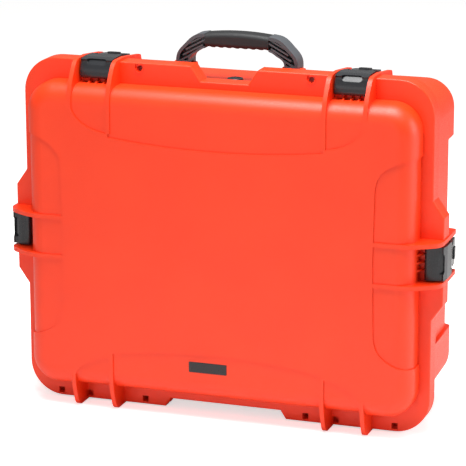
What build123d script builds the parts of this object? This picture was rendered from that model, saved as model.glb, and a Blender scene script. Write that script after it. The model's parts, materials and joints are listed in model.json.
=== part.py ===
from build123d import *
import math
import os

# Hard equipment case, standing on its hinge side with the lid towards -Y.
# Units are millimetres: X is across, Y is depth and Z is up.
# Sizes are set out from the seam plane (y = 0); export() then centres the case on Y.

# ---- shells --------------------------------------------------------------------------------
inside_width = 561.0        # clear width inside both shells
inside_height = 434.0       # clear height inside both shells, standing
inside_corner = 36.0        # corner radius of the inside, seen from the front
lid_inside = 57.5           # clear depth of the lid
base_inside = 152.0         # clear depth of the base
wall = 4.5                  # wall of both shells
panel_raise = 2.0           # raised panel of the lid over its recessed bands
lid_edge_radius = 26.0      # rounding round the lid's face
base_edge_radius = 18.0     # rounding round the base's back
base_draft = 2.0            # draft of the base, in degrees

# ---- recessed bands of the lid's face --------------------------------------------------------
recess_overrun = 10.0       # bands run this far past the wall
top_band_drop = (71.0, 81.0)           # wall to the band's edge: at its ends, in its middle
bottom_band_drop = (56.0, 69.0)
top_bay_drop = (66.0, 54.0, 20.0)      # wall to a bay's edge: inner end, bend, outer end
bottom_bay_drop = (50.0, 38.0, 8.0)
bay_bend = 38.0             # from a bay's inner end to its bend
side_band_half = 148.0      # half length of a side band at the lid's edge
side_band_dip = 8.0
side_band_drop = 48.0
side_band_edge = 30.0       # wall to the side band's curve, then to its bend and its middle
side_band_bend = 55.0
side_band_width = 57.0

# ---- sealing flange ------------------------------------------------------------------------
side_lip = 15.5             # flange beyond the wall, left and right
end_lip = 29.0              # flange beyond the wall, top and bottom
flange_corner = 50.0        # corner radius of the flange
lid_flange = 19.85          # thickness of the lid's flange
base_flange = 9.3           # thickness of the base's flange
seam_gap = 0.3              # gap between the two flanges
flange_round = 2.0          # rounding of the flange's outer edges
wing_out = 16.0             # widening of the flange at a side latch
wing_root = 85.0            # half length of the widening where it starts
wing_tip = 62.0             # half length of the widening at full width
foot_height = 2.0           # hinge-side fins stand this far below the flange

top_notch_half = 49.0       # opening in the flange for the hand
top_notch_floor_half = 35.0
top_notch_depth = 21.0
bottom_notch_half = 91.0
bottom_notch_floor_half = 83.0
bottom_notch_depth = 12.5

# ---- gasket and tongue ---------------------------------------------------------------------
groove_offset = 2.5         # wall to groove
groove_width = 5.0
groove_depth = 4.0
gasket_width = 4.6
gasket_height = 2.5
tongue_width = 2.4
tongue_height = 1.2

# ---- corner bumpers of the base ------------------------------------------------------------
bumper_out = 5.0            # bumper proud of the wall
bumper_reach = 80.0         # how far a bumper runs from the corner
bumper_foot = 3.5           # bumper proud of the back
bumper_edge_radius = 12.0

# ---- latches -------------------------------------------------------------------------------
latch_spacing = 372.0       # between the two top latches
fin_pitch = 58.0            # between the two fins beside a latch
fin_width = 6.0
top_fin_height = 3.5        # fins above the flange's edge at the seam
side_fin_height = 2.0
claw_half = 23.5            # half width of a claw
claw_gap = 0.8              # claw clear of the flange
claw_drop = 24.5            # how far the claw's leg reaches below the flange's edge
claw_top = 4.2              # claw's top above the flange's edge
lever_pivot = (10.0, -4.0)  # lever pin: depth from the seam, height from the flange's edge
claw_arm = (11.0, 2.5)      # claw pin from the lever pin, before the lever's tilt
lever_tilt = 8.0            # a shut lever's tail lies this many degrees down
pin_radius = 2.0
running_clearance = 0.06
arm_inner = 16.0            # claw's arms, from the middle
arm_outer = 22.5
boss_radius = 4.5
lever_core_half = 9.5       # lever between its two lugs
lever_front_half = 14.5
lever_tail_half = 18.5
lever_tail_start = 31.0
lever_length = 54.0         # lever's tail, depth from the seam
lever_under = 0.2
lever_over = 3.4
lever_skirt = 6.0
skirt_wall = 2.5
lug_inner = 10.0            # base lugs that hold the lever pin
lug_outer = 14.3
lug_radius = 3.8
lock_half = 8.0             # slide lock's button
lock_start = 30.0
lock_length = 14.0
lock_height = 2.0
lock_stem_half = 5.0
lock_stem_length = 5.0
lock_travel = 5.0
lock_gap = 0.2
lock_tongue = (-8.4, -6.8)  # underside and top of the tongue, before the lever's tilt
catch_start = 47.0          # bar on the base that the slide lock enters
catch_wall = 3.0
catch_half = 13.5
catch_under = 1.2           # bar below the lever's plate
catch_slack = 1.0           # room above and below the tongue in the bar

# ---- hinge ---------------------------------------------------------------------------------
hinge_radius = 6.0
hinge_pin_radius = 2.5
hinge_side_gap = 0.4
hinge_clear = 0.5
hinge_relief = 1.5          # lid's flange cut back above the hinge line, so that it opens past upright

# ---- handle --------------------------------------------------------------------------------
handle_depth_place = 46.0   # handle pin, depth from the seam
handle_pivot_rise = 16.0    # handle pin above the wall: the folded handle clears the wall
handle_half = 90.0          # half width over the arms
handle_rise = 53.0          # top of the handle above its pin, at mid width
handle_crown = 4.0          # the top is this much lower over the arms
handle_shoulder_half = 54.0
handle_elbow = (77.0, 34.0) # bend of the arm: half width, height above the pin
handle_straight = 10.0      # the arm stands straight up to this height above the pin
handle_thick = 27.0         # depth of the arms
arm_width = 20.0            # arm, seen from the front
band_wall = 4.5             # outer band of the arm
inner_wall = 2.6            # inner edge of the arm
web_wall = 4.0              # web between the pockets
truss_wall = 2.2
truss_count = 5
grip_half = 47.0
grip_height = 23.0
grip_depth = 29.0
grip_core_height = 12.0
grip_core_depth = 15.0
finger_count = 8
finger_radius = 6.5
handle_barrel = 7.0
handle_pin_radius = 3.0
ear_wall = 5.5
ear_gap = 0.4

# ---- valve, plate, padlock holes, windows ---------------------------------------------------
valve_depth_place = 27.0
valve_radius = 11.0
valve_height = 7.0
valve_stem_radius = 6.0
valve_cap_height = 2.4
valve_cap_gap = 1.0
valve_bore = 2.5
membrane_thick = 0.4
seal_ring_radius = 8.2
seal_ring_wire = 1.0
seal_ring_slack = 0.1
valve_nut_size = 17.0
valve_nut_height = 4.0
badge_size = (56.0, 15.0)
badge_thick = 0.9
badge_centre = (-11.0, -172.5)
badge_sink = 0.5
padlock_half = 125.6
padlock_below = 8.5
padlock_radius = 4.0
padlock_pocket = 12.0
padlock_pocket_depth = 3.0
window_size = 9.0
window_below = 8.0          # window's middle above the flange's lower edge
window_places = (-252.0, -207.5, -121.5)
window_shift = 372.5        # the right-hand windows repeat the left-hand ones
window_depth = 13.0         # lid windows in front of a hinge knuckle are blind

# ---- worked out ----------------------------------------------------------------------------
half_seam = seam_gap / 2
body_half = inside_width / 2 + wall
body_half_z = inside_height / 2 + wall
body_corner = inside_corner + wall
flange_half = body_half + side_lip
flange_half_z = body_half_z + end_lip
mid_z = foot_height + flange_half_z
lid_face = lid_inside + wall + panel_raise
base_back = base_inside + wall
lid_front = half_seam + lid_flange
base_flange_back = half_seam + base_flange
side_edge = flange_half + wing_out
top_body_drop = end_lip
side_body_drop = side_lip + wing_out
seam_y = (lid_face - base_back - bumper_foot) / 2
latch_half = latch_spacing / 2
hinge_z = mid_z - flange_half_z - foot_height + hinge_radius
handle_z = mid_z + body_half_z + handle_pivot_rise
base_slope = math.tan(math.radians(base_draft))
tilt = math.radians(lever_tilt)
claw_pivot = (lever_pivot[0] + claw_arm[0] * math.cos(tilt) + claw_arm[1] * math.sin(tilt),
              lever_pivot[1] - claw_arm[0] * math.sin(tilt) + claw_arm[1] * math.cos(tilt))

# latch places: name, where the flange's edge is, and how far the wall lies below it
latches = {
    "top_left": (Pos(-latch_half, 0, mid_z + flange_half_z), top_body_drop),
    "top_right": (Pos(latch_half, 0, mid_z + flange_half_z), top_body_drop),
    "side_left": (Pos(-side_edge, 0, mid_z) * Rot(0, -90, 0), side_body_drop),
    "side_right": (Pos(side_edge, 0, mid_z) * Rot(0, 90, 0), side_body_drop),
}
hinges = {
    "left": Pos(-latch_half, 0, mid_z - flange_half_z) * Rot(0, 180, 0),
    "right": Pos(latch_half, 0, mid_z - flange_half_z) * Rot(0, 180, 0),
}


# ---- helpers -------------------------------------------------------------------------------
def front_plane(y):
    """Plane facing the lid's side; its local axes are X and Z from the middle of the case."""
    return Plane(origin=(0, y, mid_z), x_dir=(1, 0, 0), z_dir=(0, -1, 0))


def slab(outline, y_start, y_end):
    """Straight block of an outline between two depths."""
    return extrude(front_plane(y_end) * outline, amount=y_end - y_start)


def side_profile(points_or_face, half_width, middle=0.0):
    """Extrude a profile given in depth and outward height, centred across its width."""
    plane = Plane(origin=(middle - half_width, 0, 0), x_dir=(0, 1, 0), z_dir=(1, 0, 0))
    return extrude(plane * points_or_face, amount=2 * half_width)


def block(x0, x1, y0, y1, z0, z1):
    return Pos((x0 + x1) / 2, (y0 + y1) / 2, (z0 + z1) / 2) * Box(x1 - x0, y1 - y0, z1 - z0)


def rod(radius, half_length, y, z, middle=0.0):
    """Round bar along X."""
    return Pos(middle, y, z) * Rot(0, 90, 0) * Cylinder(radius, 2 * half_length)


def mirrored(shape):
    return shape + mirror(shape, Plane.YZ)


def ring(outer_half, outer_half_z, corner, width, y_start, y_end):
    """Closed rectangular ring that follows the wall."""
    outer = RectangleRounded(2 * outer_half, 2 * outer_half_z, corner)
    inner = RectangleRounded(2 * (outer_half - width), 2 * (outer_half_z - width), corner - width)
    return slab(outer - inner, y_start, y_end)


def export(name, shape):
    os.makedirs("parts", exist_ok=True)
    export_step(Pos(0, seam_y, 0) * shape, f"parts/{name}.step")


# ---- flange --------------------------------------------------------------------------------
def trapezoid(root_half, tip_half, reach):
    """Symmetric trapezoid standing on the local X axis."""
    return make_face(Polyline(
        (-root_half, 0), (root_half, 0), (tip_half, reach), (-tip_half, reach), close=True))


def flange_outline():
    outline = RectangleRounded(2 * flange_half, 2 * flange_half_z, flange_corner)
    wing = trapezoid(wing_root, wing_tip, wing_out)
    outline += Pos(flange_half, 0) * Rot(0, 0, -90) * wing
    outline += Pos(-flange_half, 0) * Rot(0, 0, 90) * wing
    top = trapezoid(top_notch_half, top_notch_floor_half, top_notch_depth)
    bottom = trapezoid(bottom_notch_half, bottom_notch_floor_half, bottom_notch_depth)
    outline -= Pos(0, flange_half_z) * Rot(0, 0, 180) * top
    outline -= Pos(0, -flange_half_z) * bottom
    return outline


def window_centres():
    return [x + shift for shift in (0, window_shift) for x in window_places]


def near_hinge(x):
    reach = fin_pitch / 2 + window_size
    return abs(abs(x) - latch_half) < reach


def flange_cuts(y_start, y_end, through):
    """Padlock holes and windows, the same in both flanges."""
    cuts = Part()
    z_pad = mid_z + flange_half_z - padlock_below
    z_window = mid_z - flange_half_z + window_below
    for x in (-padlock_half, padlock_half):
        middle = (y_start + y_end) / 2
        hole = Cylinder(padlock_radius, y_end - y_start + 2)
        cuts += Pos(x, middle, z_pad) * Rot(90, 0, 0) * hole
    for x in window_centres():
        stop = y_end + 1
        if near_hinge(x):
            if not through:
                continue
            stop = y_start + window_depth
        half = window_size / 2
        cuts += block(x - half, x + half, y_start - 1, stop, z_window - half, z_window + half)
    return cuts


# ---- fins ----------------------------------------------------------------------------------
def lid_fin(peak_depth, peak_height, body_drop, run_down):
    """Fin on the lid: flush on the face, then a curve out to its peak near the flange."""
    face = -lid_face
    start = (face, -body_drop - run_down)
    leave = (face, -body_drop - lid_edge_radius + 2)
    peak = (-peak_depth, peak_height)
    seam = (-half_seam, peak_height)
    inside = (-half_seam, -body_drop + 1)
    middle = ((face + peak[0]) / 2 - 4, -body_drop * 0.42)
    curve = Spline(leave, middle, peak, tangents=[(0, 1), (1, 0)])
    inner_face = face + panel_raise + wall / 2
    path = Polyline(seam, inside, (inner_face, -body_drop - lid_edge_radius), (inner_face, start[1]),
                    start)
    profile = make_face(Line(start, leave) + curve + Line(peak, seam) + path)
    return side_profile(profile, fin_width / 2)


def base_fin(tip_depth, seam_height, tip_height, body_drop, run_back):
    """Fin on the base: a straight crest, a rounded tip, then a low rib along the wall."""
    foot = tip_depth + 20
    crest = Line((half_seam, seam_height), (tip_depth, tip_height))
    tip = Spline((tip_depth, tip_height), (tip_depth + 6, tip_height - 8),
                 (foot, -body_drop + 2.5 - foot * base_slope),
                 tangents=[(1, -0.1), (1, -0.3)])
    end = (run_back, -body_drop + 2.5 - run_back * base_slope)
    path = Polyline((foot, -body_drop + 2.5 - foot * base_slope), end,
                    (run_back, -body_drop - wall / 2 - run_back * base_slope),
                    (half_seam, -body_drop - wall / 2), (half_seam, seam_height))
    return side_profile(make_face(crest + tip + path), fin_width / 2)


fin_offsets = (-fin_pitch / 2, fin_pitch / 2)


# ---- lid -----------------------------------------------------------------------------------
def lid_block(half, half_z, corner, depth, edge_radius):
    """Rounded block of the lid; the edge round its face is rounded."""
    shape = slab(RectangleRounded(2 * half, 2 * half_z, corner), -depth, -half_seam)
    front = shape.faces().sort_by(Axis.Y)[0]
    return fillet(front.edges(), edge_radius)


def recess_outlines():
    """Outlines of the recessed bands on the lid's face, from the middle of the case."""
    out = body_half + recess_overrun
    out_z = body_half_z + recess_overrun
    inner = latch_half - fin_pitch / 2
    outer = latch_half + fin_pitch / 2
    shapes = []
    for band_drop, bay_drop, turn in ((top_band_drop, top_bay_drop, False),
                                      (bottom_band_drop, bottom_bay_drop, True)):
        end = body_half_z - band_drop[0]
        middle = body_half_z - band_drop[1]
        band = make_face(
            ThreePointArc((-inner, end), (0, middle), (inner, end))
            + Polyline((inner, end), (inner, out_z), (-inner, out_z), (-inner, end)))
        start, bend, finish = [body_half_z - drop for drop in bay_drop]
        bay = make_face(
            Spline((inner, start), (inner + bay_bend, bend), (outer, finish),
                   tangents=[(1, 0.1), (0.1, 1)])
            + Polyline((outer, finish), (outer, out_z), (inner, out_z), (inner, start)))
        group = [band, bay, mirror(bay, Plane.YZ)]
        shapes += [mirror(shape, Plane.XZ) for shape in group] if turn else group
    edge_x, bend_x, bottom_x = [body_half - width for width in (side_band_edge, side_band_bend,
                                                                side_band_width)]
    bend_z = side_band_half - side_band_drop
    side = make_face(
        Spline((out, side_band_half), (edge_x, side_band_half - side_band_dip), (bend_x, bend_z),
               tangents=[(-1, 0), (0, -1)])
        + Line((bend_x, bend_z), (bottom_x, 0))
        + Polyline((bottom_x, 0), (out, 0), (out, side_band_half)))
    side = side + mirror(side, Plane.XZ)
    return shapes + [side, mirror(side, Plane.YZ)]


def lid_shell():
    outer = lid_block(body_half, body_half_z, body_corner, lid_face, lid_edge_radius)
    low = lid_block(body_half - panel_raise, body_half_z - panel_raise, body_corner - panel_raise,
                    lid_face - panel_raise, lid_edge_radius - panel_raise)
    for outline in recess_outlines():
        outer -= slab(outline, -lid_face - 1, -lid_front) - low
    shape = outer + slab_with_round_front(flange_outline())
    top_fin = lid_fin(26.0, top_fin_height, top_body_drop, 66)
    side_fin = lid_fin(26.0, side_fin_height, side_body_drop, 59)
    hinge_fin = lid_fin(39.0, foot_height, top_body_drop, 60)
    hinge_fin -= block(-fin_width, fin_width, -hinge_radius - 1, 0, -4, foot_height + 1)
    hinge_fin += rod(hinge_radius, fin_width / 2, 0, foot_height - hinge_radius)
    for offset in fin_offsets:
        for name, (place, drop) in latches.items():
            fin = top_fin if drop == top_body_drop else side_fin
            shape += place * Pos(offset, 0, 0) * fin
        for place in hinges.values():
            shape += place * Pos(offset, 0, 0) * hinge_fin
    for place, drop in latches.values():
        for offset in (-11, 0, 11):
            gusset = make_face(Polyline((-lid_front + 1, -drop - 2), (-lid_front + 1, -claw_drop - 1),
                                        (-lid_front - 16, -drop - 2), close=True))
            shape += place * side_profile(gusset, 1.25, offset)
    cavity = slab(RectangleRounded(inside_width, inside_height, inside_corner), -lid_inside, 5)
    cavity = fillet(cavity.faces().sort_by(Axis.Y)[0].edges(), lid_edge_radius - wall)
    shape -= cavity
    shape -= groove()
    shape -= flange_cuts(-lid_front, -half_seam, True)
    shape -= hinge_relief_in_lid()
    shape += padlock_rings()
    shape -= padlock_pockets()
    shape -= badge_pocket()
    return shape


def slab_with_round_front(outline):
    shape = slab(outline, -lid_front, -half_seam)
    front = shape.faces().sort_by(Axis.Y)[0]
    return fillet(front.edges(), flange_round)


def groove():
    half = body_half + groove_offset + groove_width
    half_z = body_half_z + groove_offset + groove_width
    corner = body_corner + groove_offset + groove_width
    return ring(half, half_z, corner, groove_width, -half_seam - groove_depth, -half_seam + 1)


def lid_gasket():
    slack = (groove_width - gasket_width) / 2
    outer = groove_offset + groove_width - slack
    return ring(body_half + outer, body_half_z + outer, body_corner + outer, gasket_width,
                -half_seam - groove_depth, -half_seam - groove_depth + gasket_height)


def hinge_relief_in_lid():
    """Room for the base's knuckles and for the base's flange while the lid swings."""
    cut = Part()
    knuckle_half = fin_pitch / 2 - fin_width / 2
    low = mid_z - flange_half_z
    for x in (-latch_half, latch_half):
        cut += rod(hinge_radius + hinge_clear, knuckle_half, 0, hinge_z, x)
    ends = [-flange_half - 1, -latch_half - fin_pitch / 2 - fin_width / 2,
            -latch_half - knuckle_half, -latch_half + knuckle_half,
            -latch_half + fin_pitch / 2 + fin_width / 2]
    ends += [-x for x in reversed(ends)]
    for x0, x1 in zip(ends[::2], ends[1::2]):
        cut += block(x0, x1, -hinge_radius, 1, low - 5, hinge_z + hinge_relief)
    for x in (-latch_half, latch_half):
        cut += rod(hinge_pin_radius + running_clearance, fin_pitch / 2 + fin_width, 0, hinge_z, x)
    return cut


def padlock_rings():
    rings = Part()
    z = mid_z + flange_half_z - padlock_below
    for x in (-padlock_half, padlock_half):
        shape = Cylinder(padlock_radius + 2.4, 2) - Cylinder(padlock_radius + 1, 4)
        rings += Pos(x, -lid_front - 0.2, z) * Rot(90, 0, 0) * shape
    return rings


def padlock_pockets():
    cuts = Part()
    z = mid_z + flange_half_z - padlock_below
    half = padlock_pocket / 2
    for x in (-padlock_half, padlock_half):
        cuts += block(x - half, x + half, -lid_front - 3, -lid_front + padlock_pocket_depth, z, z + half)
    return cuts


def badge_pocket():
    face = -lid_face + panel_raise
    width, height = badge_size
    x, z = badge_centre
    return Pos(x, face, mid_z + z) * Box(width + 0.4, 2 * badge_sink, height + 0.4)


def badge_plate():
    face = -lid_face + panel_raise + badge_sink
    width, height = badge_size
    x, z = badge_centre
    plate = Pos(x, face - badge_thick / 2, mid_z + z) * Box(width, badge_thick, height)
    return fillet(plate.edges().filter_by(Axis.Y), 1.2)


# ---- base ----------------------------------------------------------------------------------
def drafted_block(outline, y_start, y_end):
    """Block that narrows towards the back of the base."""
    plane = Plane(origin=(0, y_start, mid_z), x_dir=(1, 0, 0), z_dir=(0, 1, 0))
    return extrude(plane * outline, amount=y_end - y_start, taper=base_draft)


def rounded_back(shape, radius):
    return fillet(shape.faces().sort_by(Axis.Y)[-1].edges(), radius)


def corner_boxes():
    boxes = Part()
    reach_x = body_half - bumper_reach
    reach_z = body_half_z - bumper_reach
    size = bumper_reach + 30
    for sx in (-1, 1):
        for sz in (-1, 1):
            x = sx * (reach_x + size / 2)
            z = mid_z + sz * (reach_z + size / 2)
            boxes += Pos(x, base_back / 2, z) * Box(size, base_back + 40, size)
    return boxes


def base_shell():
    outline = RectangleRounded(2 * body_half, 2 * body_half_z, body_corner)
    shape = rounded_back(drafted_block(outline, half_seam, base_back), base_edge_radius)
    proud = RectangleRounded(2 * (body_half + bumper_out), 2 * (body_half_z + bumper_out),
                             body_corner + bumper_out)
    bumpers = drafted_block(proud, base_flange_back - 2, base_back + bumper_foot)
    bumpers = rounded_back(bumpers, bumper_edge_radius)
    shape += bumpers & corner_boxes()
    flange = slab(flange_outline(), half_seam, base_flange_back)
    back = flange.faces().sort_by(Axis.Y)[-1]
    flange = fillet(back.edges(), flange_round)
    knuckle_half = fin_pitch / 2 - fin_width / 2 - hinge_side_gap
    for x in (-latch_half, latch_half):
        flange += rod(hinge_radius, knuckle_half, 0, hinge_z, x)
    shape += flange
    top_fin = base_fin(57.0, top_fin_height, -3.0, top_body_drop, base_back - 24)
    side_fin = base_fin(42.0, side_fin_height, 1.3, side_body_drop, base_back - 24)
    foot_fin = base_fin(85.0, foot_height, foot_height, top_body_drop, base_back - 24)
    foot_fin -= block(-fin_width, fin_width, -1, base_flange_back, -4, foot_height + 1)
    for offset in fin_offsets:
        for name, (place, drop) in latches.items():
            fin = top_fin if drop == top_body_drop else side_fin
            shape += place * Pos(offset, 0, 0) * fin
        for place in hinges.values():
            shape += place * Pos(offset, 0, 0) * foot_fin
    for place, drop in latches.values():
        shape -= place * latch_relief()
        shape += place * latch_lugs(drop)
    shape += handle_ears()
    inner = RectangleRounded(inside_width, inside_height, inside_corner)
    cavity = drafted_block(inner, -5, base_inside)
    shape -= rounded_back(cavity, base_edge_radius - wall)
    shape += ring(body_half + groove_offset + (groove_width + tongue_width) / 2,
                  body_half_z + groove_offset + (groove_width + tongue_width) / 2,
                  body_corner + groove_offset + (groove_width + tongue_width) / 2,
                  tongue_width, -half_seam - tongue_height, half_seam + 1)
    shape -= flange_cuts(half_seam, base_flange_back, False)
    for x in (-latch_half, latch_half):
        shape -= rod(hinge_pin_radius, fin_pitch / 2 + fin_width, 0, hinge_z, x)
        for offset in fin_offsets:
            half = fin_width / 2 + hinge_side_gap
            shape -= rod(hinge_radius + hinge_clear, half, 0, hinge_z, x + offset)
    shape -= valve_hole()
    return shape


def latch_relief():
    """Room in the base's flange for the lever's front end as it turns."""
    half = lever_front_half + 1
    return block(-half, half, half_seam - 1, base_flange_back + 1, -12.5, 5)


def latch_lugs(drop):
    """Lugs that hold the lever pin, and the bar that the slide lock enters."""
    y, z = lever_pivot
    lugs = Part()
    middle = (lug_inner + lug_outer) / 2
    half = (lug_outer - lug_inner) / 2
    for side in (-1, 1):
        lug = rod(lug_radius, half, y, z, side * middle)
        lug += block(side * middle - half, side * middle + half, y - lug_radius, y + lug_radius,
                     -drop - wall / 2, z)
        lugs += lug - rod(pin_radius, half + 1, y, z, side * middle)
    low = -drop - wall / 2 - catch_start * base_slope
    catch_end = catch_start + catch_wall
    bar = block(-catch_half, catch_half, catch_start, catch_end, low,
                tilted_height(catch_end, lever_under) - catch_under)
    slot_half = lock_stem_half + 1
    under, over = lock_tongue
    bar -= block(-slot_half, slot_half, catch_start - 1, catch_end + 1,
                 tilted_height(catch_end, under) - catch_slack,
                 tilted_height(catch_start, over) + catch_slack)
    return lugs + bar


def handle_ears():
    ears = Part()
    low = mid_z + body_half_z - wall / 2 - handle_depth_place * base_slope
    inner = handle_half - arm_width
    for middle in (inner - ear_gap - ear_wall / 2, handle_half + ear_gap + ear_wall / 2):
        ear = rod(handle_barrel, ear_wall / 2, handle_depth_place, handle_z, middle)
        ear += block(middle - ear_wall / 2, middle + ear_wall / 2,
                     handle_depth_place - handle_barrel - 3, handle_depth_place + handle_barrel + 3,
                     low, handle_z - 3)
        ear -= rod(handle_pin_radius, ear_wall, handle_depth_place, handle_z, middle)
        ears += ear
    return mirrored(ears)


# ---- valve ---------------------------------------------------------------------------------
valve_wall_z = mid_z + body_half_z - valve_depth_place * base_slope
valve_seat = valve_wall_z + 0.6


def valve_hole():
    """Through hole with a flat seat for the seal ring."""
    hole = Pos(0, valve_depth_place, valve_wall_z) * Cylinder(valve_stem_radius + 0.05, 30)
    seat = Pos(0, valve_depth_place, valve_seat + 3) * Cylinder(valve_radius + 1, 6)
    return hole + seat


def valve_body():
    shape = Pos(0, 0, valve_height / 2) * Cylinder(valve_radius, valve_height)
    shape = fillet(shape.edges().sort_by(Axis.Z)[-1], 1.0)
    stem = wall + valve_nut_height + 3
    shape += Pos(0, 0, -stem / 2) * Cylinder(valve_stem_radius, stem)
    shape -= Pos(0, 0, -stem / 2) * Cylinder(valve_bore, stem + 8)
    cup_height = valve_cap_height + membrane_thick + 1
    shape -= Pos(0, 0, valve_height - cup_height / 2) * Cylinder(valve_radius - 2.5, cup_height)
    seal_groove = Cylinder(seal_ring_radius + seal_ring_wire + seal_ring_slack, 2 * seal_ring_wire)
    seal_groove -= Cylinder(seal_ring_radius - seal_ring_wire - seal_ring_slack, 2 * seal_ring_wire)
    return shape - Pos(0, 0, seal_ring_wire) * seal_groove


def valve_parts():
    """Pressure valve in the top wall of the base, from the inside out."""
    place = Pos(0, valve_depth_place, valve_seat)
    floor = valve_height - valve_cap_height - membrane_thick - 1
    body = place * valve_body()
    membrane = place * Pos(0, 0, floor + membrane_thick / 2) * Cylinder(
        valve_radius - 2.7, membrane_thick)
    cap = Cylinder(valve_radius - 2.5, valve_cap_height)
    cap = fillet(cap.edges().sort_by(Axis.Z)[-1], 0.6)
    for angle in range(0, 360, 60):
        cap -= Rot(0, 0, angle) * Pos(5.2, 0, 0) * Box(3.2, 1.1, 6)
    cap = place * Pos(0, 0, valve_height - valve_cap_height / 2 - 0.3) * cap
    seal = place * Pos(0, 0, seal_ring_wire) * Torus(seal_ring_radius, seal_ring_wire)
    return body, membrane, cap, seal


def valve_nut():
    top = valve_wall_z - wall - 0.6
    nut = extrude(RegularPolygon(valve_nut_size / 2, 6, major_radius=False), amount=valve_nut_height)
    nut -= Cylinder(valve_stem_radius, 4 * valve_nut_height)
    return Pos(0, valve_depth_place, top - valve_nut_height) * nut


# ---- latch pieces, in the latch's own frame: +Z is outward from the flange's edge -----------
def claw():
    front = -lid_front
    inner = front - claw_gap
    rear = lever_pivot[0] - 5
    toe = front - 0.4
    outline = (Line((toe, -claw_drop), (front - 7, -claw_drop))
               + Spline((front - 7, -claw_drop), (front - 12.5, -claw_drop + 7),
                        (front - 12, -claw_drop + 12), (front - 8, 0.5), (front + 5, claw_top),
                        tangents=[(-1, 0), (1, 0.12)])
               + Polyline((front + 5, claw_top), (rear, claw_top), (rear, claw_gap),
                          (inner + 2, claw_gap), (inner, claw_gap - 2), (inner, -claw_drop + 10),
                          (toe, -claw_drop + 8), (toe, -claw_drop)))
    shape = side_profile(make_face(outline), claw_half)
    slot = extrude(SlotOverall(29, 9), amount=10)
    shape -= Pos(0, front - 9.5, 0.5) * Rot(52, 0, 0) * Pos(0, 0, -4.2) * slot
    y, z = claw_pivot
    arm = make_face(Polyline((rear - 6, claw_gap), (y - 8, claw_gap), (y, z - boss_radius),
                             (y, z + boss_radius), (y - 10, claw_top - 0.3), (rear - 6, claw_top),
                             close=True))
    middle = (arm_inner + arm_outer) / 2
    half = (arm_outer - arm_inner) / 2
    for side in (-1, 1):
        limb = side_profile(arm, half, side * middle) + rod(boss_radius, half, y, z, side * middle)
        shape += limb - rod(pin_radius + running_clearance, half + 1, y, z, side * middle)
    return shape


def tilted_height(depth, height):
    """Height at a given depth of a level line of the lever, once the lever is tilted."""
    y, z = lever_pivot
    return z + (height - z) / math.cos(tilt) - (depth - y) * math.tan(tilt)


def tilted(shape):
    """Turn a shape modelled level about the lever pin, so that its tail lies down."""
    y, z = lever_pivot
    return Pos(0, y, z) * Rot(-lever_tilt, 0, 0) * Pos(0, -y, -z) * shape


def lever():
    y, z = lever_pivot
    level_claw_pivot = (y + claw_arm[0], z + claw_arm[1])
    start = y - 3.5
    plate = block(-lever_front_half, lever_front_half, start, lever_tail_start + 2, lever_under,
                  lever_over)
    tail = block(-lever_tail_half, lever_tail_half, lever_tail_start, lever_length, -lever_skirt,
                 lever_over)
    tail = fillet(tail.edges().filter_by(Axis.Z), 3.0)
    hollow_half = lever_tail_half - skirt_wall
    tail -= block(-hollow_half, hollow_half, lever_tail_start - 1, lever_length - skirt_wall,
                  -lever_skirt - 1, lever_under)
    shape = plate + tail
    shape += rod(boss_radius, lever_core_half, y, z)
    shape += block(-lever_core_half, lever_core_half, y, level_claw_pivot[0], z, lever_under + 1)
    shape += rod(boss_radius - 0.2, lever_front_half, *level_claw_pivot)
    shape -= rod(pin_radius + running_clearance, lever_front_half + 1, y, z)
    shape -= rod(pin_radius, lever_front_half + 1, *level_claw_pivot)
    slot_half = lock_stem_half + lock_gap
    slot_start = lock_start + 2 - lock_gap
    slot_end = slot_start + lock_stem_length + lock_travel + 2 * lock_gap
    shape -= block(-slot_half, slot_half, slot_start, slot_end, lever_under - 1, lever_over + 1)
    return tilted(shape)


def slide_lock():
    button = block(-lock_half, lock_half, lock_start, lock_start + lock_length,
                   lever_over + lock_gap, lever_over + lock_gap + lock_height)
    button = fillet(button.edges().filter_by(Axis.Z), 1.5)
    stem_start = lock_start + 2
    shape = button + block(-lock_stem_half, lock_stem_half, stem_start,
                           stem_start + lock_stem_length, lock_tongue[0],
                           lever_over + lock_gap + 1)
    foot_half = lock_stem_half + 2
    shape += block(-foot_half, foot_half, stem_start - 0.5, stem_start + lock_stem_length + 1.5,
                   lever_under - 2.5, lever_under - lock_gap)
    tongue_end = catch_start - 1.5
    shape += block(-lock_stem_half, lock_stem_half, stem_start, tongue_end, *lock_tongue)
    return tilted(shape)


def lever_pin():
    return rod(pin_radius, lug_outer, *lever_pivot)


def claw_pin():
    return rod(pin_radius, arm_outer, *claw_pivot)


# ---- handle --------------------------------------------------------------------------------
def handle_outline(inset):
    """Outer edge of the handle, pulled in by an inset, from the pin's height upwards."""
    elbow_x, elbow_z = handle_elbow
    top = handle_rise - inset
    shoulder = handle_rise - handle_crown - inset
    half = handle_half - inset
    points = [(half, 0), (half, handle_straight), (elbow_x - inset * 0.9, elbow_z - inset * 0.55),
              (handle_shoulder_half - inset * 0.35, shoulder)]
    right = Line(points[0], points[1])
    right += Spline(points[1], points[2], points[3], tangents=[(0, 1), (-1, 0.12)])
    crown = ThreePointArc(points[3], (0, top), (-points[3][0], points[3][1]))
    left = Spline((-points[3][0], points[3][1]), (-points[2][0], points[2][1]),
                  (-points[1][0], points[1][1]), tangents=[(-1, -0.12), (0, -1)])
    left += Line((-points[1][0], points[1][1]), (-points[0][0], points[0][1]))
    base_line = Line((-half, 0), (half, 0))
    return make_face(right + crown + left + base_line)


def handle_slab(face, y0, y1):
    plane = Plane(origin=(0, y1, handle_z), x_dir=(1, 0, 0), z_dir=(0, -1, 0))
    return extrude(plane * face, amount=y1 - y0)


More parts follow.
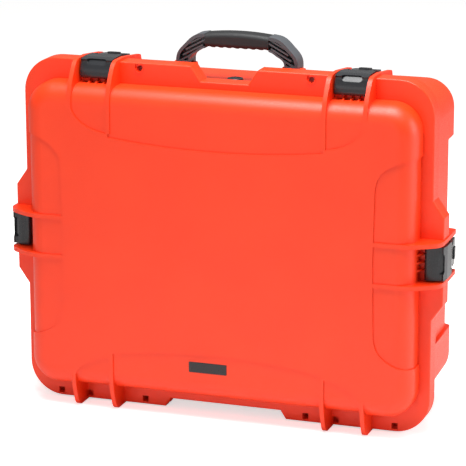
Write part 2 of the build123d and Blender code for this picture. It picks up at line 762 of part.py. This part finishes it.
def handle_frame():
    y0 = handle_depth_place - handle_thick / 2
    y1 = handle_depth_place + handle_thick / 2
    outer = handle_outline(0)
    shape = handle_slab(outer - handle_outline(arm_width), y0, y1)
    pocket = handle_outline(band_wall) - handle_outline(arm_width - inner_wall)
    depth = (handle_thick - web_wall) / 2
    pocket = pocket & (Pos(0, handle_barrel + 3 + handle_rise / 2) * Rectangle(3 * handle_half, handle_rise))
    shape -= handle_slab(pocket, y0 - 1, y0 + depth)
    shape -= handle_slab(pocket, y1 - depth, y1 + 1)
    body = handle_slab(outer - handle_outline(arm_width), y0 + 0.6, y1 - 0.6)
    trusses = Part()
    for index in range(truss_count):
        z = handle_barrel + 2 + index * 8.2
        bar = Pos(handle_half - 16 - index * 4.4, handle_depth_place, handle_z + z)
        trusses += bar * Rot(0, 28, 0) * Box(34, handle_thick, truss_wall)
    shape += mirrored(trusses) & body
    barrel = rod(handle_barrel, arm_width / 2, handle_depth_place, handle_z,
                 handle_half - arm_width / 2)
    barrel += block(handle_half - arm_width, handle_half, y0, y1, handle_z, handle_z + 4)
    barrel -= rod(handle_pin_radius + running_clearance, arm_width, handle_depth_place, handle_z,
                  handle_half - arm_width / 2)
    shape -= mirrored(rod(handle_barrel + 1, arm_width, handle_depth_place, handle_z, handle_half))
    shape += mirrored(barrel)
    middle_z = handle_z + handle_rise - grip_height / 2
    shape -= block(-grip_half, grip_half, y0 - 1, y1 + 1, middle_z - 40, middle_z + 40)
    shape += Pos(0, handle_depth_place, middle_z) * Box(2 * grip_half + 12, grip_core_depth,
                                                       grip_core_height)
    return shape


def handle_grip():
    """Soft grip round the handle's core, arched on top and with finger waves below."""
    top = handle_rise
    end = handle_rise - handle_crown * (grip_half / handle_shoulder_half) ** 2
    low = handle_rise - grip_height
    face = make_face(ThreePointArc((-grip_half, end), (0, top), (grip_half, end))
                     + Polyline((grip_half, end), (grip_half, low), (-grip_half, low),
                                (-grip_half, end)))
    y0 = handle_depth_place - grip_depth / 2
    y1 = handle_depth_place + grip_depth / 2
    shape = handle_slab(face, y0, y1)
    long_edges = [edge for edge in shape.edges() if edge.bounding_box().size.X > grip_half]
    shape = fillet(long_edges, 7.0)
    pitch = 2 * grip_half / finger_count
    for index in range(finger_count):
        x = -grip_half + pitch * (index + 0.5)
        wave = Pos(x, handle_depth_place, handle_z + low - finger_radius + 1.8)
        shape -= wave * Rot(90, 0, 0) * Cylinder(finger_radius, grip_depth + 4)
    middle_z = handle_z + handle_rise - grip_height / 2
    core = Box(2 * grip_half + 2, grip_core_depth, grip_core_height)
    return shape - Pos(0, handle_depth_place, middle_z) * core


def handle_pin(side):
    half = arm_width / 2 + ear_gap + ear_wall
    return rod(handle_pin_radius, half, handle_depth_place, handle_z,
               side * (handle_half - arm_width / 2))


def hinge_pin(side):
    half = fin_pitch / 2 + fin_width / 2
    return rod(hinge_pin_radius, half, 0, hinge_z, side * latch_half)


# ---- export --------------------------------------------------------------------------------
export("base_shell", base_shell())
export("lid_shell", lid_shell())
export("lid_gasket", lid_gasket())
export("badge_plate", badge_plate())
for side, sign in (("left", -1), ("right", 1)):
    export(f"hinge_pin_{side}", hinge_pin(sign))
    export(f"handle_pin_{side}", handle_pin(sign))
export("handle_frame", handle_frame())
export("handle_grip", handle_grip())
for name, shape in zip(("valve_body", "valve_membrane", "valve_cap", "valve_seal_ring"),
                       valve_parts()):
    export(name, shape)
export("valve_nut", valve_nut())
pieces = {"lever": lever(), "claw": claw(), "slide_lock": slide_lock(),
          "lever_pin": lever_pin(), "claw_pin": claw_pin()}
for place_name, (place, drop) in latches.items():
    for piece_name, piece in pieces.items():
        export(f"{place_name}_{piece_name}", place * piece)

print("seam_y", round(seam_y, 3), "mid_z", mid_z, "hinge_z", hinge_z, "handle_z", handle_z)
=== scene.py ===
# %% [markdown]
# # A hard equipment case on a white studio floor
# The case stands on its hinge side, lid forward, as it does when somebody puts it down by its
# handle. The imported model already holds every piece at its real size. This lesson only dresses
# it: each piece gets the finish of the plastic, rubber or steel that it is made of, moulded pieces
# get a small radius on their sharp edges, and lights and a camera are set up.

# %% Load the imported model
import json
import math

import bpy
from mathutils import Matrix, Vector


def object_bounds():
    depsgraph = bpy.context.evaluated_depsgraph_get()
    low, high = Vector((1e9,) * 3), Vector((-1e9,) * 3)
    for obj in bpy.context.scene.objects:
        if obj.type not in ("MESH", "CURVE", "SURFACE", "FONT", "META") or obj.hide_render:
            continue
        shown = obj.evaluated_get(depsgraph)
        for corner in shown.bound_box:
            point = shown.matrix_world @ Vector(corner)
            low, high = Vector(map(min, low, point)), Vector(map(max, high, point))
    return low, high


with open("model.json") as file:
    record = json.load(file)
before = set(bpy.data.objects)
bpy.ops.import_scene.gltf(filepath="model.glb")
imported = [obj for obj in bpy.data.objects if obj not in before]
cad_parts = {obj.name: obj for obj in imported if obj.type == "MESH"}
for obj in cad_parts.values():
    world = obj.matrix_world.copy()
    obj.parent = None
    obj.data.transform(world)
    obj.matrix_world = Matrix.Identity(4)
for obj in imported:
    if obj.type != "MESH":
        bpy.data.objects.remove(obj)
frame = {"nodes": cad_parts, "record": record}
nodes = frame["nodes"]


def corners():
    """Lowest and highest corner of what is shown, as plain lists."""
    return [list(corner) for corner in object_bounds()]


cad_box = corners()
print("pieces:", len(nodes), "box in metres:", cad_box)

# %% [markdown]
# ## Colours and the one node helper
# A hex value is how a screen stores a colour. A shader works with light, which is linear, so
# every hex value goes through one function. Node trees are easier to read when adding a node is
# one line: its kind, its settings, and what is plugged into it.

# %% Helpers for materials
MM = 0.001


def colour(hex_value):
    """Linear RGBA of an sRGB hex value such as "#3A3D42"."""
    channels = [int(hex_value[i:i + 2], 16) / 255 for i in (1, 3, 5)]
    linear = [c / 12.92 if c <= 0.04045 else ((c + 0.055) / 1.055) ** 2.4 for c in channels]
    return (*linear, 1.0)


def add(tree, kind, settings=None, **inputs):
    """Adds a node. An input is a plain value or another node's output socket."""
    node = tree.nodes.new("ShaderNode" + kind)
    for name, value in (settings or {}).items():
        setattr(node, name, value)
    for name, value in inputs.items():
        key = int(name[1:]) if name[1:].isdigit() else name.replace("_", " ")
        socket = node.inputs[key]
        if isinstance(value, bpy.types.NodeSocket):
            tree.links.new(value, socket)
        else:
            socket.default_value = value
    return node


def new_material(name):
    """Empty material with a shader and an output."""
    material = bpy.data.materials.new(name)
    material.use_nodes = True
    tree = material.node_tree
    tree.nodes.clear()
    shader = add(tree, "BsdfPrincipled")
    output = add(tree, "OutputMaterial", Surface=shader.outputs["BSDF"])
    return material, tree, shader, output


print("orange in linear light:", [round(c, 3) for c in colour("#EC3604")])

# %% [markdown]
# ## The shells: polypropylene, injection moulded
# Both shells are moulded in coloured polypropylene. The steel mould is spark eroded, which
# leaves a fine grain that breaks up reflections, so the plastic looks satin instead of glossy.
# The colour drifts very slightly over a hand's breadth, as pigment does in a large moulding.

# %% Moulded plastic and rubber
DRIFT_MM = 90               # size of the patches over which the colour drifts
DRIFT_RANGE = (0.35, 0.65)  # the middle part of the noise, where most of its values lie
BUMP_STRENGTH = 0.5
PLASTIC_IOR = 1.49


def moulded(name, hex_value, hex_pale, roughness, grain_mm, grain_height, spread=0.05, gloss=0.5):
    """A moulded material: grain of a real size and a slight drift between two colours."""
    material, tree, shader, output = new_material(name)
    place = add(tree, "TexCoord").outputs["Object"]
    grain = add(tree, "TexNoise", Vector=place, Scale=1 / (grain_mm * MM), Detail=2.0)
    cloud = add(tree, "TexNoise", Vector=place, Scale=1 / (DRIFT_MM * MM), Detail=3.0)
    drift = add(tree, "MapRange", Value=cloud.outputs["Fac"], From_Min=DRIFT_RANGE[0],
                From_Max=DRIFT_RANGE[1])
    body = add(tree, "Mix", {"data_type": "RGBA"}, i0=drift.outputs["Result"],
               i6=colour(hex_value), i7=colour(hex_pale))
    tree.links.new(body.outputs[2], shader.inputs["Base Color"])
    rough = add(tree, "MapRange", Value=grain.outputs["Fac"], To_Min=roughness - spread,
                To_Max=roughness + spread)
    tree.links.new(rough.outputs["Result"], shader.inputs["Roughness"])
    bump = add(tree, "Bump", Height=grain.outputs["Fac"], Distance=grain_height * MM,
               Strength=BUMP_STRENGTH)
    tree.links.new(bump.outputs["Normal"], shader.inputs["Normal"])
    shader.inputs["IOR"].default_value = PLASTIC_IOR
    shader.inputs["Specular IOR Level"].default_value = gloss
    return material


# slot: name, colour, drifted colour, roughness, grain size and height in mm, spread, gloss
finishes = {
    "shell_plastic": moulded(
        "polypropylene_moulded_orange", "#EC3604", "#EF3906", 0.44, 1.4, 0.06, 0.26),
    "latch_plastic": moulded(
        "nylon_glass_filled_moulded_charcoal", "#1F2124", "#232528", 0.26, 1.0, 0.03),
    "handle_plastic": moulded("nylon_moulded_grey", "#46494D", "#4B4E52", 0.38, 1.0, 0.04),
    "grip_rubber": moulded(
        "thermoplastic_elastomer_moulded_black", "#161718", "#1A1B1C", 0.60, 0.8, 0.06, 0.3),
    "seal_rubber": moulded("silicone_extruded_black", "#161616", "#1A1A1A", 0.6, 0.8, 0.03),
    "badge_plastic": moulded("polycarbonate_plate_black", "#141416", "#161618", 0.34, 2.0, 0.01, 0.2),
    "valve_plastic": moulded("acetal_turned_black", "#1D1E20", "#202124", 0.35, 1.0, 0.03),
    "membrane": moulded("expanded_ptfe_film_white", "#E6E6E2", "#ECECE8", 0.7, 0.6, 0.02),
}

# %% [markdown]
# ## The pins: stainless steel bar, drawn
# The pins are cut from drawn bar. Drawing leaves fine lines along the pin.

# %% Drawn stainless steel
def drawn_steel():
    """Bright steel with fine lines along X, the direction of the hinge and handle pins."""
    material, tree, shader, output = new_material("stainless_steel_drawn")
    place = add(tree, "TexCoord").outputs["Object"]
    stretched = add(tree, "Mapping", Vector=place, Scale=(0.05, 1.0, 1.0))
    lines = add(tree, "TexNoise", Vector=stretched.outputs["Vector"], Scale=1 / (0.4 * MM),
                Detail=2.0)
    rough = add(tree, "MapRange", Value=lines.outputs["Fac"], To_Min=0.22, To_Max=0.42)
    tree.links.new(rough.outputs["Result"], shader.inputs["Roughness"])
    shader.inputs["Base Color"].default_value = colour("#C4C4C6")
    shader.inputs["Metallic"].default_value = 1.0
    return material


finishes["pin_steel"] = drawn_steel()

# %% Give every piece its finish
SHARP_DEGREES = 40          # edges that turn by more than this get the radius
ROUND_MM = {"latch_plastic": 1.0, "handle_plastic": 1.0, "shell_plastic": 1.2}


def round_edges(piece, width):
    """Mould radius on the sharp edges of a piece."""
    bevel = piece.modifiers.new("mould_radius", "BEVEL")
    bevel.width = width * MM
    bevel.segments = 2
    bevel.limit_method = "ANGLE"
    bevel.angle_limit = math.radians(SHARP_DEGREES)
    bevel.use_clamp_overlap = True
    bevel.harden_normals = True


slots = {part["node"]: part["material_slot"] for part in frame["record"]["subparts"]}
for name, piece in nodes.items():
    piece.data.materials.clear()
    piece.data.materials.append(finishes[slots[name]])
    if slots[name] in ROUND_MM and not name.endswith("_pin"):
        round_edges(piece, ROUND_MM[slots[name]])
print("finishes:", sorted(finishes))

# %% [markdown]
# ## Floor and room
# The floor is pale paper, wide enough to fade out of sight. The camera sees a white room. The
# case is lit by a dimmer one, so that the soft boxes shape it.

# %% Floor
FLOOR_SIZE = 14.0           # metres
FLOOR_LIFT = 0.62           # the floor's own glow, for the camera alone


def paper_floor():
    bpy.ops.mesh.primitive_grid_add(x_subdivisions=8, y_subdivisions=8, size=FLOOR_SIZE)
    floor = bpy.context.object
    floor.name = "paper_floor"
    material, tree, shader, output = new_material("paper_matt_white")
    shader.inputs["Base Color"].default_value = colour("#F4F2F1")
    shader.inputs["Roughness"].default_value = 0.9
    lift = add(tree, "Emission", Color=(1, 1, 1, 1), Strength=FLOOR_LIFT)
    both = add(tree, "AddShader", i0=shader.outputs["BSDF"], i1=lift.outputs["Emission"])
    path = add(tree, "LightPath")
    pick = add(tree, "MixShader", i0=path.outputs["Is Camera Ray"], i1=shader.outputs["BSDF"],
               i2=both.outputs["Shader"])
    tree.links.new(pick.outputs["Shader"], output.inputs["Surface"])
    floor.data.materials.append(material)


paper_floor()

# %% Room light
def white_room(strength):
    """White to the camera and through clear pieces, dimmer for the light on the case."""
    world = bpy.data.worlds.new("white_room")
    bpy.context.scene.world = world
    world.use_nodes = True
    tree = world.node_tree
    tree.nodes.clear()
    path = add(tree, "LightPath")
    seen = add(tree, "Math", {"operation": "MAXIMUM"}, i0=path.outputs["Is Camera Ray"],
               i1=path.outputs["Is Transmission Ray"])
    level = add(tree, "MapRange", Value=seen.outputs["Value"], To_Min=strength, To_Max=1.0)
    back = add(tree, "Background", Color=(1, 1, 1, 1), Strength=level.outputs["Result"])
    add(tree, "OutputWorld", Surface=back.outputs["Background"])


white_room(0.32)


def soft_box(name, place, aim, size, power):
    """A square soft light at a place, turned to face a point."""
    lamp = bpy.data.lights.new(name, "AREA")
    lamp.shape = "SQUARE"
    lamp.size = size
    lamp.energy = power
    light = bpy.data.objects.new(name, lamp)
    bpy.context.scene.collection.objects.link(light)
    light.location = place
    light.rotation_euler = (Vector(aim) - Vector(place)).to_track_quat("-Z", "Y").to_euler()


middle = (Vector(cad_box[0]) + Vector(cad_box[1])) / 2
soft_box("overhead_box", (0.1, -0.35, 1.9), middle, 1.1, 52)
soft_box("front_box", (-0.6, -3.2, 1.0), middle, 1.8, 11)
soft_box("side_box", (2.4, 0.3, 0.9), middle, 1.4, 30)

# %% [markdown]
# ## Camera
# A long lens from the front right and a little above keeps the edges of the case nearly
# parallel, as in a catalogue.

# %% Camera
CAMERA_PLACE = (1.1118, -3.244, 1.1608)
CAMERA_TURN, CAMERA_DOWN, CAMERA_ROLL = 19.09, 14.86, -0.10     # degrees
LENS_MM = 191.65
FILM_MM = 36.0


def catalogue_camera():
    lens = bpy.data.cameras.new("catalogue_camera")
    lens.sensor_width = FILM_MM
    lens.lens = LENS_MM
    camera = bpy.data.objects.new("catalogue_camera", lens)
    bpy.context.scene.collection.objects.link(camera)
    turn = Matrix.Rotation(math.radians(CAMERA_TURN), 4, "Z")
    lean = Matrix.Rotation(math.radians(90 - CAMERA_DOWN), 4, "X")
    roll = Matrix.Rotation(math.radians(CAMERA_ROLL), 4, "Z")
    camera.matrix_world = Matrix.Translation(CAMERA_PLACE) @ turn @ lean @ roll
    bpy.context.scene.camera = camera
    bpy.context.scene.view_settings.view_transform = "Standard"


catalogue_camera()
